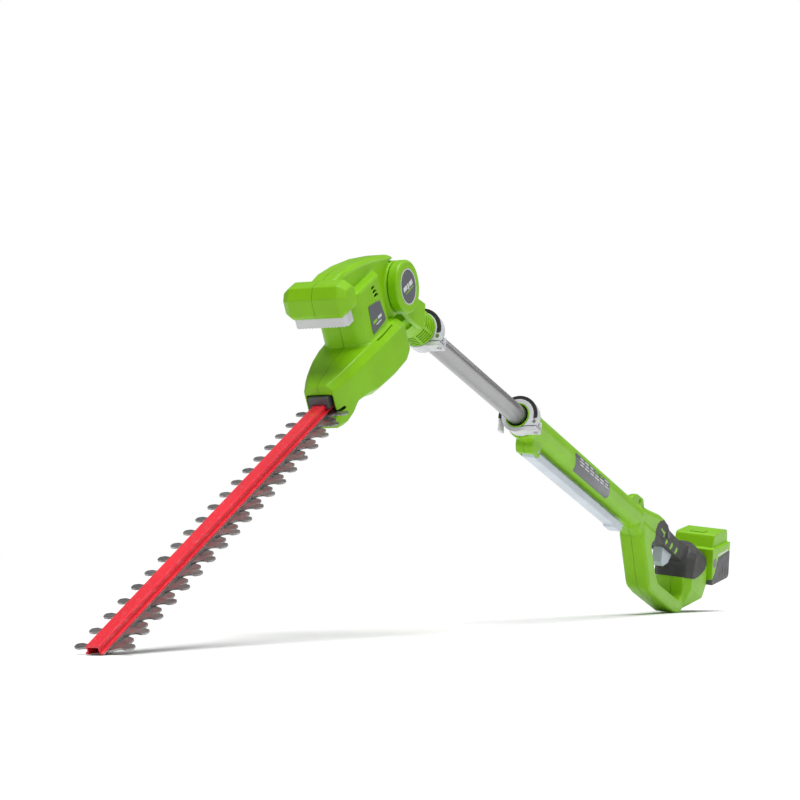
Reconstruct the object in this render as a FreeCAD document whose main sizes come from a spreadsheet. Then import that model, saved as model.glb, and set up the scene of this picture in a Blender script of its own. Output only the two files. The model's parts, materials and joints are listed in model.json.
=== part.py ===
"""Pole hedge trimmer: battery powered, with a tilting cutter head on a telescoping tube.

Three local frames carry the design. The head frame has X along the cutter bar from its first tooth, Z up
through the head. The pole frame has X down the pole from the point below the head pivot. The handle frame
has the same X, starts at the front of the rear collar, and is turned a little about the pole.
"""

import FreeCAD, Part

import math
import os

import Sketcher
from FreeCAD import Placement, Rotation, Vector

DOC = FreeCAD.newDocument("pole_hedge_trimmer")
SHEET = DOC.addObject("Spreadsheet::Sheet", "Sizes")

DRIVING_SIZES = {
    # where the three frames lie
    "origin_ahead": -886.734, "origin_side": 2.35, "origin_lift": 6.117,
    "blade_incline": 29.07, "pole_incline": 15.29, "handle_roll": 7.0,
    "pivot_along": 688.8, "pivot_above": 62.5, "pivot_over_pole": 10.6, "collar_from_pivot": 421.4,
    # cutter
    "tooth_pitch": 26.84, "tooth_reach": 31.35, "short_reach": 21.0, "blade_half_width": 10.0,
    "blade_thickness": 2.0, "blade_gap": 0.1, "blade_front": -8.0, "eccentricity": 6.0,
    "bar_front": -17.5, "bar_rear": 548.0, "bar_half_width": 7.5, "bar_base": 3.4, "bar_height": 9.0,
    "bar_wall": 2.0, "flange_half_width": 9.0, "rail_thickness": 1.0, "bolt_radius": 2.5,
    # gear drive
    "gear_module": 1.0, "gear_thickness": 8.0, "gear_base": 18.0, "gear_along": 574.5,
    "cam_radius": 11.0, "axle_radius": 4.0, "running_gap": 0.04, "motor_radius": 18.5,
    "motor_base": 34.5, "motor_length": 54.0, "shaft_radius": 2.5,
    # head casing and pivot
    "wall": 2.6, "lug_radius": 31.0, "lug_half_width": 19.6, "ear_inner": 20.9, "ear_outer": 33.0,
    "pivot_radius": 6.0, "badge_radius": 20.5, "badge_thickness": 1.2, "bar_grip_half": 38.6,
    "release_travel": 6.0, "release_half_width": 32.0,
    # pole
    "tube_radius": 12.8, "tube_wall": 1.8, "tube_front": 62.0, "tube_insertion": 180.0,
    "neck_radius": 21.5, "neck_end": 106.0, "collet_radius": 16.6, "band_radius": 22.5,
    "band_length": 20.0, "clamp_lever_radius": 26.6, "clamp_pin_radius": 2.4,
    # handle
    "handle_radius": 20.0, "handle_drop": 2.0, "handle_bore": 17.2, "loop_half_width": 20.0,
    "shoulder_half_width": 18.5, "grip_half_width": 16.0, "rubber_thickness": 1.4,
    "paddle_half_width": 9.0, "eyelet_half_width": 5.0, "eyelet_hole": 3.5, "screw_radius": 1.7,
    # battery
    "battery_tilt": 25.0, "battery_half_width": 38.0, "battery_front": 690.5, "battery_rear": 771.5,
    "battery_bottom": -350.0, "battery_top": -291.0, "cap_top": -270.0, "cell_radius": 9.1,
    "cell_length": 65.0,
}

for row, (alias, number) in enumerate(DRIVING_SIZES.items(), start=1):
    SHEET.set(f"A{row}", alias)
    SHEET.set(f"B{row}", str(number))
    SHEET.setAlias(f"B{row}", alias)
DOC.recompute()


class Size:
    """A number together with the spreadsheet expression that gives it."""

    def __init__(self, number, text):
        self.number = number
        self.text = text

    @staticmethod
    def of(other):
        return other if isinstance(other, Size) else Size(float(other), repr(float(other)))

    def __add__(self, other):
        other = Size.of(other)
        return Size(self.number + other.number, f"({self.text} + {other.text})")

    def __sub__(self, other):
        other = Size.of(other)
        return Size(self.number - other.number, f"({self.text} - {other.text})")

    def __mul__(self, other):
        other = Size.of(other)
        return Size(self.number * other.number, f"({self.text} * {other.text})")

    def __truediv__(self, other):
        other = Size.of(other)
        return Size(self.number / other.number, f"({self.text} / {other.text})")

    def __neg__(self):
        return Size(-self.number, f"(0 - {self.text})")

    def __radd__(self, other):
        return Size.of(other) + self

    def __rsub__(self, other):
        return Size.of(other) - self

    def __rmul__(self, other):
        return Size.of(other) * self

    def __float__(self):
        return self.number


class Sizes:
    """Each driving size, read back from the sheet by its alias."""

    def __getattr__(self, alias):
        return Size(float(SHEET.get(alias)), f"Sizes.{alias}")


S = Sizes()

# ---------------------------------------------------------------- frames
ALONG_Y = Vector(0, 1, 0)
ORIGIN = Vector(float(S.origin_ahead), float(S.origin_side), float(S.origin_lift))
HEAD = Placement(ORIGIN, Rotation(ALONG_Y, -float(S.blade_incline)))
PIVOT = HEAD.multVec(Vector(float(S.pivot_along), 0, float(S.pivot_above)))
POLE_TURN = Rotation(ALONG_Y, float(S.pole_incline))
POLE = Placement(PIVOT - POLE_TURN.multVec(Vector(0, 0, float(S.pivot_over_pole))), POLE_TURN)
HANDLE = Placement(POLE.multVec(Vector(float(S.collar_from_pivot), 0, 0)),
                   POLE_TURN.multiply(Rotation(Vector(1, 0, 0), float(S.handle_roll))))
BATTERY = HANDLE.multiply(Placement(Vector(), Rotation(ALONG_Y, -float(S.battery_tilt))))

AXES = {"x": Rotation(Vector(0, 1, 0), 90), "y": Rotation(Vector(1, 0, 0), -90), "z": Rotation()}
NODES = {}


# ---------------------------------------------------------------- document objects
def bind(thing, **sizes):
    """Set each size on the object and tie it to the sheet where it comes from there."""
    for prop, size in sizes.items():
        size = Size.of(size)
        setattr(thing, prop, size.number)
        if "Sizes." in size.text:
            thing.setExpression(prop, size.text)
    return thing


def box(x0, x1, y0, y1, z0, z1):
    thing = DOC.addObject("Part::Box", "block")
    bind(thing, Length=Size.of(x1) - x0, Width=Size.of(y1) - y0, Height=Size.of(z1) - z0)
    thing.Placement = Placement(Vector(float(x0), float(y0), float(z0)), Rotation())
    return thing


def rod(axis, at, length, radius):
    """A cylinder that starts at a point and runs along a local axis."""
    thing = DOC.addObject("Part::Cylinder", "rod")
    bind(thing, Radius=radius, Height=length)
    thing.Placement = Placement(Vector(*[float(c) for c in at]), AXES[axis])
    return thing


def held(shape):
    """A Part::Feature for a shape that no primitive, pad or boolean object can give, such as a loft."""
    thing = DOC.addObject("Part::Feature", "shape")
    thing.Shape = shape
    return thing


def fuse(*things):
    thing = DOC.addObject("Part::MultiFuse", "union")
    thing.Shapes = list(things)
    return thing


def cut(base, *tools):
    thing = DOC.addObject("Part::Cut", "difference")
    thing.Base = base
    thing.Tool = tools[0] if len(tools) == 1 else fuse(*tools)
    return thing


def node(label, frame, thing):
    """Name a finished piece and move it from its local frame into place."""
    thing.Label = label
    thing.Placement = frame.multiply(thing.Placement)
    NODES[label] = thing
    return thing


def group(things):
    """Separate identical solids kept in one node."""
    thing = DOC.addObject("Part::Compound", "group")
    thing.Links = list(things)
    return thing


def padded(outline, length):
    """A PartDesign body: a sketched outline in the XZ plane, padded to both sides of it."""
    body = DOC.addObject("PartDesign::Body", "body")
    plane = [f for f in body.Origin.OriginFeatures if f.Role == "XZ_Plane"][0]
    sketch = body.newObject("Sketcher::SketchObject", "outline")
    sketch.AttachmentSupport = [(plane, "")]
    sketch.MapMode = "FlatFace"
    points = [(Size.of(x), Size.of(z)) for x, z in outline]
    spots = [Vector(x.number, z.number, 0) for x, z in points]
    for index, spot in enumerate(spots):
        sketch.addGeometry(Part.LineSegment(spot, spots[(index + 1) % len(spots)]), False)
    constrain(sketch, points)
    pad = body.newObject("PartDesign::Pad", "pad")
    pad.Profile = sketch
    pad.SideType = "Symmetric"
    bind(pad, Length=length)
    return body


def constrain(sketch, points):
    """Join the outline's lines and tie each corner to the sheet."""
    count = len(points)
    for index in range(count):
        sketch.addConstraint(Sketcher.Constraint("Coincident", index, 2, (index + 1) % count, 1))
    for index, corner in enumerate(points):
        for kind, size in zip(("DistanceX", "DistanceY"), corner):
            made = sketch.addConstraint(Sketcher.Constraint(kind, -1, 1, index, 1, size.number))
            if "Sizes." in size.text:
                sketch.setExpression(f"Constraints[{made}]", size.text)


# ---------------------------------------------------------------- outlines and slabs
STRAIGHT = math.radians(89.4)  # half the angle between two lines that run on as one


def outline_wire(corners, radius, lift=0.0, plane="xz"):
    """A closed wire through (x, z) corners, each rounded by an arc; a corner may carry its own radius."""
    def spot(point):
        return Vector(point.x, lift, point.y) if plane == "xz" else Vector(point.x, point.y, lift)

    count = len(corners)
    points = [Vector(c[0], c[1], 0) for c in corners]
    starts, ends, middles = [], [], []
    for index, here in enumerate(points):
        size = corners[index][2] if len(corners[index]) > 2 else radius
        to_last = points[index - 1] - here
        to_next = points[(index + 1) % count] - here
        half = to_last.getAngle(to_next) / 2
        if half > STRAIGHT:
            starts.append(here)
            ends.append(here)
            middles.append(here)
            continue
        setback = min(size / math.tan(half), 0.49 * to_last.Length, 0.49 * to_next.Length)
        size = setback * math.tan(half)
        bisector = (to_last.normalize() + to_next.normalize()).normalize()
        starts.append(here + to_last * setback)
        ends.append(here + to_next * setback)
        middles.append(here + bisector * (size / math.sin(half) - size))
    edges = []
    for index in range(count):
        if (ends[index] - starts[index]).Length > 1e-6:
            edges.append(Part.Arc(spot(starts[index]), spot(middles[index]), spot(ends[index])).toShape())
        following = (index + 1) % count
        if (starts[following] - ends[index]).Length > 1e-6:
            edges.append(Part.LineSegment(spot(ends[index]), spot(starts[following])).toShape())
    return Part.Wire(edges)


def slab(corners, half_width, radius=4.0, soften=0.0, low=None):
    """An outline in the XZ plane, extruded across Y, with its two rims rounded off."""
    low = -half_width if low is None else low
    face = Part.Face(outline_wire(corners, radius, low))
    solid = face.extrude(Vector(0, half_width - low, 0))
    return round_rims(solid, soften, "y", (low, half_width))


def layer(corners, low, high, radius=4.0, soften=0.0):
    """An outline in the XY plane, extruded up along Z."""
    face = Part.Face(outline_wire(corners, radius, low, "xy"))
    solid = face.extrude(Vector(0, 0, high - low))
    return round_rims(solid, soften, "z", (low, high))


def lofted(sections, ruled=True):
    """A solid through closed polygons; each section is a list of points."""
    wires = [Part.makePolygon([Vector(*p) for p in points + points[:1]]) for points in sections]
    return Part.makeLoft(wires, True, ruled)


def round_rims(solid, radius, axis, levels):
    """Fillet every edge that lies wholly in one of the two end planes."""
    if not radius:
        return solid
    rims = []
    for edge in solid.Edges:
        heights = [getattr(v.Point, axis) for v in edge.Vertexes]
        if any(all(abs(h - level) < 1e-6 for h in heights) for level in levels):
            rims.append(edge)
    return solid.makeFillet(radius, rims)


def union(shapes):
    return shapes[0].multiFuse(shapes[1:]).removeSplitter()


def half(shape, side):
    """The part of a shape on one side of the XZ plane: side is -1 or 1."""
    reach = 2000.0
    corner = Vector(-reach, 0 if side > 0 else -reach, -reach)
    return shape.common(Part.makeBox(2 * reach, reach, 2 * reach, corner))


def largest(shape):
    """The main solid of a shape, once the crumbs left by the cuts are dropped."""
    pieces = sorted(shape.Solids, key=lambda piece: piece.Volume)
    if sum(piece.Volume for piece in pieces[:-1]) > 0.02 * pieces[-1].Volume:
        raise RuntimeError("a piece has come apart")
    return pieces[-1]


def mirrored(outline):
    """An outline given for one side of the X axis, completed on the other."""
    return outline + [(x, -y) for x, y in reversed(outline)]


# ---------------------------------------------------------------- cutter
PITCH = float(S.tooth_pitch)
TEETH = 19
UPPER = (float(S.blade_gap), float(S.blade_gap + S.blade_thickness))
LOWER = (-UPPER[1], -UPPER[0])
ECCENTRIC = float(S.eccentricity)
CAM = float(S.cam_radius)
GEAR_AT = float(S.gear_along)
BOLTS_AT = [PITCH * (0.5 + step) for step in (0, 4, 8, 12, 16)]


def tooth(at, reach, root, waist, paddle, low, high):
    """One long tooth: a waisted stem that ends in a rounded paddle."""
    inner = float(S.blade_half_width) - 1.0
    stem = inner + (reach - inner) * 0.42
    cheek = reach - paddle * 0.62
    side = [(at - root / 2, inner), (at - waist / 2, stem, 8.0), (at - paddle / 2, cheek, 3.0)]
    tip = [(at - paddle * 0.32, reach, 2.6), (at + paddle * 0.32, reach, 2.6)]
    other = [(at + paddle / 2, cheek, 3.0), (at + waist / 2, stem, 8.0), (at + root / 2, inner)]
    return [layer(side + tip + other, low, high, radius=0.5)]


def both_sides(solids):
    return solids + [s.mirror(Vector(), Vector(0, 1, 0)) for s in solids]


def blade(level, teeth):
    """A toothed blade: spine, slots for the bar's bolts, and the yoke that its cam works in."""
    low, high = level
    yoke = CAM + ECCENTRIC
    clear = 0.4
    rim = 5.0
    half_width = float(S.blade_half_width)
    front = float(S.blade_front)
    wide = yoke + clear + rim
    plan = mirrored([(front, half_width), (526.0, half_width), (GEAR_AT - 26.0, wide),
                     (GEAR_AT + ECCENTRIC + yoke + clear + rim, wide)])
    plate = layer(plan, low, high, radius=5.0)
    solid = union([plate] + teeth)
    opening = mirrored([(GEAR_AT - ECCENTRIC - yoke - clear, yoke + clear),
                        (GEAR_AT + ECCENTRIC + yoke + clear, yoke + clear)])
    tools = [layer(opening, low - 1, high + 1, radius=yoke)]
    slot_half = float(S.bolt_radius) + ECCENTRIC + clear
    slot_wide = float(S.bolt_radius) + clear
    for at in BOLTS_AT:
        slot = [(at - slot_half, -slot_wide), (at + slot_half, -slot_wide),
                (at + slot_half, slot_wide), (at - slot_half, slot_wide)]
        tools.append(layer(slot, low - 1, high + 1, radius=slot_wide))
    return solid.cut(tools[0].multiFuse(tools[1:]))


def upper_blade():
    teeth = []
    for index in range(TEETH):
        teeth += both_sides(tooth(index * PITCH, float(S.tooth_reach), 17.0, 4.8, 9.4, *UPPER))
    node("upper_blade", HEAD, held(blade(UPPER, teeth)))


def lower_blade():
    teeth = []
    inner = float(S.blade_half_width) - 1.0
    reach = float(S.short_reach)
    for index in range(1, TEETH):
        at = (index - 0.5) * PITCH
        plan = [(at - 9.5, inner), (at - 4.0, reach, 2.5), (at + 4.0, reach, 2.5), (at + 9.5, inner)]
        teeth += both_sides([layer(plan, *LOWER, radius=0.5)])
    node("lower_blade", HEAD, held(blade(LOWER, teeth)))


def blade_bar():
    """The painted hat-section bar: hollow, open below, with a groove and a flange along each side."""
    top = float(S.bar_base + S.bar_height)
    base = float(S.bar_base)
    half_width = float(S.bar_half_width)
    inner = half_width - float(S.bar_wall)
    groove = half_width - 0.9
    flange = float(S.flange_half_width)
    right = [(inner, base), (flange, base), (flange, base + 2.0), (groove, base + 2.4), (groove, top - 3.4),
             (half_width, top - 3.0), (half_width, top - 0.8), (half_width - 0.8, top)]
    section = [(-y, z) for y, z in reversed(right)]
    roof = top - float(S.bar_wall)
    section = right + section + [(-inner, roof), (inner, roof)]
    front = float(S.bar_front)
    wire = Part.makePolygon([Vector(front, y, z) for y, z in section + section[:1]])
    solid = Part.Face(wire).extrude(Vector(float(S.bar_rear) - front, 0, 0))
    node("blade_bar", HEAD, held(solid))


def guide_rail():
    """The bright steel strip between the bar and the blades."""
    base = S.bar_base - S.rail_thickness - 0.05
    strip = box(S.bar_front + 2.5, S.bar_rear - 4.0, -(S.flange_half_width - 0.1), S.flange_half_width - 0.1,
                base, S.bar_base - 0.05)
    holes = [rod("z", (at, 0, 0), 6.0, S.bolt_radius + 0.2) for at in BOLTS_AT]
    node("guide_rail", HEAD, cut(strip, *holes))


def bar_fasteners():
    head_thickness = 1.8
    washer_gap = 0.2
    head_top = LOWER[0] - washer_gap
    nut_base = float(S.bar_base) + 0.05
    nut_top = float(S.bar_base + S.bar_height - S.bar_wall) - 0.1
    inside = S.bar_half_width - S.bar_wall - 0.1
    bolts, nuts = [], []
    for at in BOLTS_AT:
        shank = rod("z", (at, 0, head_top - 0.5), nut_top - head_top, S.bolt_radius)
        bolts.append(fuse(shank, rod("z", (at, 0, head_top - head_thickness), head_thickness, 4.8)))
        block = box(at - 5.0, at + 5.0, -inside, inside, nut_base, nut_top)
        nuts.append(cut(block, rod("z", (at, 0, 0), 20.0, S.bolt_radius)))
    node("blade_bolts", HEAD, group(bolts))
    node("bar_weld_nuts", HEAD, group(nuts))


def entry_plate():
    """The dark metal saddle that closes the casing round the bar."""
    outer = box(481.0, 497.0, -11.8, 11.8, 7.5, 21.0)
    inside = box(480.0, 498.0, -(S.bar_half_width + 0.3), S.bar_half_width + 0.3, 0.0,
                 S.bar_base + S.bar_height + 0.3)
    node("entry_plate", HEAD, cut(outer, inside))


# ---------------------------------------------------------------- gears and motor
GEAR_TEETH = 44
PINION_TEETH = 11
PINION_AT = GEAR_AT + float(S.gear_module) * (GEAR_TEETH + PINION_TEETH) / 2


def gear_face(teeth, at, turn):
    """An involute gear outline with 20 degree pressure angle and a little backlash."""
    module = float(S.gear_module)
    pitch_radius = module * teeth / 2
    base_radius = pitch_radius * math.cos(math.radians(20))
    backlash = 0.16
    half_pitch = math.pi / 2 / teeth - backlash / pitch_radius

    def involute(radius):
        angle = math.acos(min(1.0, base_radius / max(radius, base_radius)))
        return math.tan(angle) - angle

    def half_angle(radius):
        return max(0.004, half_pitch + involute(pitch_radius) - involute(radius))

    radii = [pitch_radius - 1.2 * module, max(base_radius, pitch_radius - 0.7 * module), pitch_radius,
             pitch_radius + 0.5 * module, pitch_radius + 0.85 * module]
    points = []
    for index in range(teeth):
        middle = 2 * math.pi * index / teeth + turn
        flank = [(r, middle - half_angle(r)) for r in radii]
        flank += [(r, middle + half_angle(r)) for r in radii[::-1]]
        points += [Vector(at + r * math.cos(a), r * math.sin(a), 0) for r, a in flank]
    return Part.Face(Part.makePolygon(points + points[:1]))


def drive_gear():
    """The large gear with its two opposed cams, one in each blade's yoke, on one hub."""
    base = float(S.gear_base)
    wheel = gear_face(GEAR_TEETH, GEAR_AT, 0.0).extrude(Vector(0, 0, float(S.gear_thickness)))
    wheel.translate(Vector(0, 0, base))
    hub_low = LOWER[0]
    hub = Part.makeCylinder(4.9, base - hub_low + 1, Vector(GEAR_AT, 0, hub_low))
    collar = Part.makeCylinder(9.0, base - UPPER[1] - 1.4, Vector(GEAR_AT, 0, UPPER[1] + 0.4))
    cams = []
    for level, side in ((UPPER, 1), (LOWER, -1)):
        centre = Vector(GEAR_AT + side * ECCENTRIC, 0, level[0])
        cams.append(Part.makeCylinder(CAM, level[1] - level[0], centre))
    bore = Part.makeCylinder(float(S.axle_radius + S.running_gap), 60, Vector(GEAR_AT, 0, -10))
    node("drive_gear", HEAD, held(union([wheel, hub, collar] + cams).cut(bore)))


def motor_pinion():
    base = float(S.gear_base) - 0.5
    wheel = gear_face(PINION_TEETH, PINION_AT, 0.0)
    wheel = wheel.extrude(Vector(0, 0, float(S.gear_thickness) + 1.5))
    wheel.translate(Vector(0, 0, base))
    shaft = Part.makeCylinder(float(S.shaft_radius), 57.0, Vector(PINION_AT, 0, base))
    node("motor_pinion", HEAD, held(wheel.fuse(shaft).removeSplitter()))


def motor():
    can = rod("z", (PINION_AT, 0, S.motor_base), S.motor_length, S.motor_radius)
    boss = rod("z", (PINION_AT, 0, S.motor_base - 2.0), 3.0, 8.0)
    cap = rod("z", (PINION_AT, 0, S.motor_base + S.motor_length), 4.0, 9.0)
    bore = rod("z", (PINION_AT, 0, S.motor_base - 5.0), 47.0, S.shaft_radius + S.running_gap)
    node("motor", HEAD, cut(fuse(can, boss, cap), bore))


def gear_case():
    """The cast box round the gears; the motor stands on its lid."""
    outer = box(547.0, 634.0, -27.0, 27.0, S.bar_base + S.bar_height, S.motor_base)
    inside = box(550.0, 631.0, -24.0, 24.0, 16.0, S.motor_base - 3.0)
    cam_way = rod("z", (GEAR_AT, 0, 10.0), 10.0, S.cam_radius + S.eccentricity + 1.0)
    axle_way = rod("z", (GEAR_AT, 0, 30.0), 10.0, S.axle_radius)
    motor_way = rod("z", (PINION_AT, 0, 30.0), 10.0, 8.0)
    node("gear_case", HEAD, cut(outer, inside, cam_way, axle_way, motor_way))


def base_plate():
    """The steel plate below the blades; it carries the foot of the gear axle."""
    plate = box(558.0, 638.0, -21.0, 21.0, -8.0, -5.0)
    node("base_plate", HEAD, cut(plate, rod("z", (GEAR_AT, 0, -10.0), 10.0, S.axle_radius)))


def gear_axle():
    node("gear_axle", HEAD, rod("z", (GEAR_AT, 0, -8.0), S.motor_base + 8.0, S.axle_radius))


# ---------------------------------------------------------------- head casing
PIVOT_X = float(S.pivot_along)
PIVOT_Z = float(S.pivot_above)
PAWL_ANGLE = 130.0
ARCH_TOP = [(541, 127), (572, 129), (606, 125), (648, 116), (690, 103), (706, 94)]
ARCH_UNDER = [(692, 78), (674, 88), (648, 95), (614, 100), (560, 101)]
BAR_GRIP = [(519, 100), (524, 94.5), (552, 94.5), (556, 99), (556, 122), (547, 130.5), (528, 130.5),
            (519, 119)]
# along the bar: position, half widths of roof, waist and keel, then heights of roof, shoulder, bilge and keel
HULL_SECTIONS = [(486, 11, 17.5, 13, 33, 26, -13, -18), (497, 15, 21.5, 14, 35, 27, -15, -20),
                 (508, 19, 25, 14, 37, 29, -10, -17), (520, 22, 28.5, 15, 38.5, 30, -1, -7),
                 (538, 26, 32.5, 20, 41, 32, -1, -7), (561, 29, 35, 23, 42.5, 33, -5, -13),
                 (600, 31, 37.5, 25, 43, 34, -6, -15), (636, 30, 37.5, 25, 42, 34, -5, -15.5),
                 (655, 26, 34.5, 22, 38.5, 31, -1, -11.5), (668, 18, 28, 18, 33, 26, 6, 0)]
POST_PLAN = [(566, 20), (574, 28), (630, 28), (642, 20)]


def inset(corners, by):
    """Corners of an outline moved inwards by a wall thickness."""
    face = Part.Face(Part.makePolygon([Vector(x, z, 0) for x, z in corners + corners[:1]]))
    shrunk = face.makeOffset2D(-by, join=2)
    return [(v.Point.x, v.Point.y) for v in shrunk.OuterWire.OrderedVertexes]


def hull(wall):
    """The boat-shaped lower casing, lofted through its cross-sections; a wall shrinks it to the cavity."""
    sections = []
    for index, (x, roof, waist, keel, top, shoulder, bilge, bottom) in enumerate(HULL_SECTIONS):
        if index == 0:
            x += wall
        if index == len(HULL_SECTIONS) - 1:
            x -= wall
        side = [(roof - wall / 2, top - wall), (waist - wall, shoulder - wall / 2),
                (waist - wall, bilge + wall / 2), (keel - wall / 2, bottom + wall)]
        ring = side + [(-y, z) for y, z in reversed(side)]
        sections.append([(x, y, z) for y, z in ring])
    return lofted(sections)


def head_outer():
    post = layer(mirrored(POST_PLAN), 20, 103, radius=12.0, soften=3.0)
    arch = slab(ARCH_TOP + ARCH_UNDER, 17.0, radius=12.0, soften=6.0)
    grip_half = float(S.bar_grip_half)
    taper = 9.0
    flat = [(x, z) for x, z in BAR_GRIP]
    small = inset(flat, taper * 0.75)
    rings = [(-grip_half, small), (taper - grip_half, flat), (grip_half - taper, flat), (grip_half, small)]
    grip = lofted([[(x, y, z) for x, z in ring] for y, ring in rings])
    lug = Part.makeCylinder(float(S.lug_radius), 2 * float(S.lug_half_width),
                            Vector(PIVOT_X, -float(S.lug_half_width), PIVOT_Z), Vector(0, 1, 0))
    web = slab([(625, 30), (664, 30), (700, 50), (700, 92), (640, 100), (625, 96)], 17.0, radius=3.0)
    ear_room = Part.makeCylinder(float(S.lug_radius) + 2.2, 80, Vector(PIVOT_X, -40, PIVOT_Z), ALONG_Y)
    outer = union([hull(0), post, arch]).cut(ear_room)
    return union([outer, grip, lug, web])


def head_hollow():
    """Everything taken out of the head casing: cavities, slots and bores."""
    wall = float(S.wall)
    lug_bore = Part.makeCylinder(float(S.pivot_radius + S.running_gap), 80, Vector(PIVOT_X, -40, PIVOT_Z),
                                 Vector(0, 1, 0))
    detent_room = Part.makeCylinder(25.5, 5.0, Vector(PIVOT_X, -2.5, PIVOT_Z), Vector(0, 1, 0))
    post_room = layer(inset(mirrored(POST_PLAN), wall), 20, 100, radius=10.0)
    top = 110 + float(S.release_travel)
    lever_room = slab([(525.4, 90), (547.6, 90), (547.6, top), (525.4, top)],
                      float(S.release_half_width) + 0.6, radius=0.5)
    arch_room = slab([(550, 105), (640, 100), (672, 93), (684, 90), (690, 98), (645, 111), (575, 123),
                      (550, 120)], 11.0, radius=2.0)
    tooth_way = layer(mirrored([(470, 35), (500, 35), (500, 13), (540, 13)]), -0.5, 2.7, radius=1.0)
    bar_way = Part.makeBox(60, 31, 25, Vector(480, -15.5, -3.6))
    vents = [Part.makeBox(9, 80, 2.6, Vector(608 + 1.5 * step, -40, 92 - 5 * step)) for step in range(3)]
    pawl_room = Part.makeBox(25, 3.8, 5.8, Vector(24, -1.9, -2.9))
    pawl_room.Placement = Placement(Vector(PIVOT_X, 0, PIVOT_Z), Rotation(ALONG_Y, -PAWL_ANGLE))
    return [hull(wall), pawl_room, lug_bore, detent_room, post_room, lever_room, arch_room, tooth_way,
            bar_way] + vents


HEAD_SCREWS = [(500.0, -14.0), (522.0, 20.0), (652.0, 20.0), (648.0, -8.0), (552.0, 111.0), (636.0, 105.0)]


def screw_ways(places):
    """The holes across both shells for their case screws."""
    radius = float(S.screw_radius)
    return [Part.makeCylinder(radius, 60, Vector(x, -14, z), ALONG_Y) for x, z in places]


def head_casing():
    shell = head_outer()
    for tool in head_hollow() + screw_ways(HEAD_SCREWS):
        shell = shell.cut(tool)
    for side, label in ((-1, "head_shell_left"), (1, "head_shell_right")):
        node(label, HEAD, held(largest(half(shell, side))))


def screws(label, frame, places, reach):
    """Case screws across the joint of two shells, kept together in one node."""
    node(label, frame, group([rod("y", (x, -reach, z), 2 * reach, S.screw_radius) for x, z in places]))


def release_lever():
    """The squeeze bar under the cross handle, with a serrated lower edge."""
    wide = float(S.release_half_width)
    body = layer(mirrored([(526.0, wide), (547.0, wide)]), 83, 108, radius=6.0)
    notches = []
    for step in range(-8, 9):
        notches.append(Part.makeCylinder(1.3, 30, Vector(520, 4.2 * step, 82.6), Vector(1, 0, 0)))
    node("release_lever", HEAD, held(body.cut(notches[0].multiFuse(notches[1:]))))


def detent_disc():
    """The notched steel disc that fixes the head at one of seven angles."""
    disc = rod("y", (PIVOT_X, -1.5, PIVOT_Z), 3.0, 24.0)
    tools = [rod("y", (PIVOT_X, -2.0, PIVOT_Z), 4.0, S.pivot_radius)]
    for step in range(7):
        angle = math.radians(PAWL_ANGLE + 45 - 22.5 * step)
        spot = (PIVOT_X + 24 * math.cos(angle), -2.0, PIVOT_Z + 24 * math.sin(angle))
        tools.append(rod("y", spot, 4.0, 2.8))
    node("detent_disc", HEAD, cut(disc, *tools))


def lock_pawl():
    """The pawl that drops into the detent disc, drawn just clear of it."""
    bar = Part.makeBox(15, 3, 5, Vector(28.6, -1.5, -2.5))
    nose = Part.makeCylinder(2.5, 3, Vector(28.6, -1.5, 0), Vector(0, 1, 0))
    pawl = bar.fuse(nose).removeSplitter()
    pawl.Placement = Placement(Vector(PIVOT_X, 0, PIVOT_Z), Rotation(ALONG_Y, -PAWL_ANGLE))
    node("lock_pawl", HEAD, held(pawl))


def head_badge():
    """The grey label panel on the visible wall of the motor housing."""
    panel = slab([(587, 47), (625, 50), (620, 75), (590, 80)], -28.02, radius=3.0, low=-28.7)
    node("head_badge", HEAD, held(panel))


# ---------------------------------------------------------------- neck and pole
NECK_HALF = 27.0
NECK_BACK = [(32, 12.5), (50, 15.5), (62, 17.5), (76, 23), (76, 40), (32, 40)]
NECK_SCREWS = [(47.0, 11.2), (52.0, -14.5), (92.0, 17.0)]


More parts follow.
